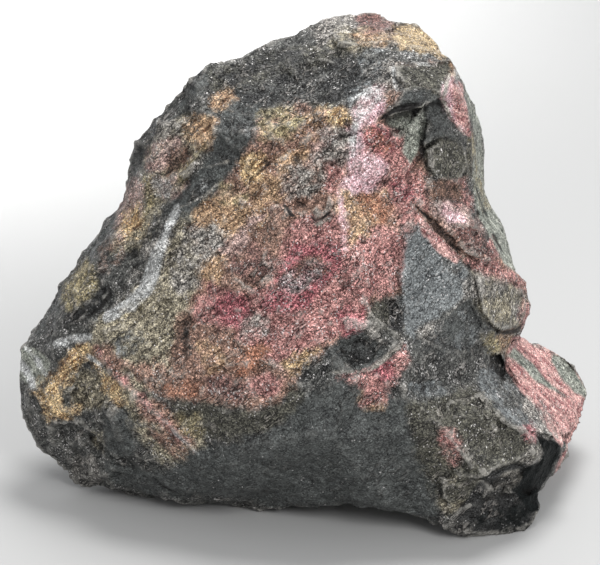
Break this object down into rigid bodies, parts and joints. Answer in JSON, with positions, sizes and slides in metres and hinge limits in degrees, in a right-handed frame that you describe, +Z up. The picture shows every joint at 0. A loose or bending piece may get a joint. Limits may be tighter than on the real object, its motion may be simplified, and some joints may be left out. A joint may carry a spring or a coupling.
{
  "type": "rough rhodonite specimen",
  "caption": "Rough lump of pink and black rhodonite, broken on every side, with a dark roof, a sloping pink front, an undercut belly and a low banded tail.",
  "frame": {"origin": "middle of the footprint, on the surface that the stone stands on", "axes": "+Z up, +X along the length from the blunt west tip to the banded tail, +Y away from the sloping pink front"},
  "size_m": [0.1356, 0.0858, 0.1102],
  "materials": {
    "stone": "rough broken stone"
  },
  "bodies": {
    "root": {"rhodonite_stone": "stone"}
  },
  "joints": []
}
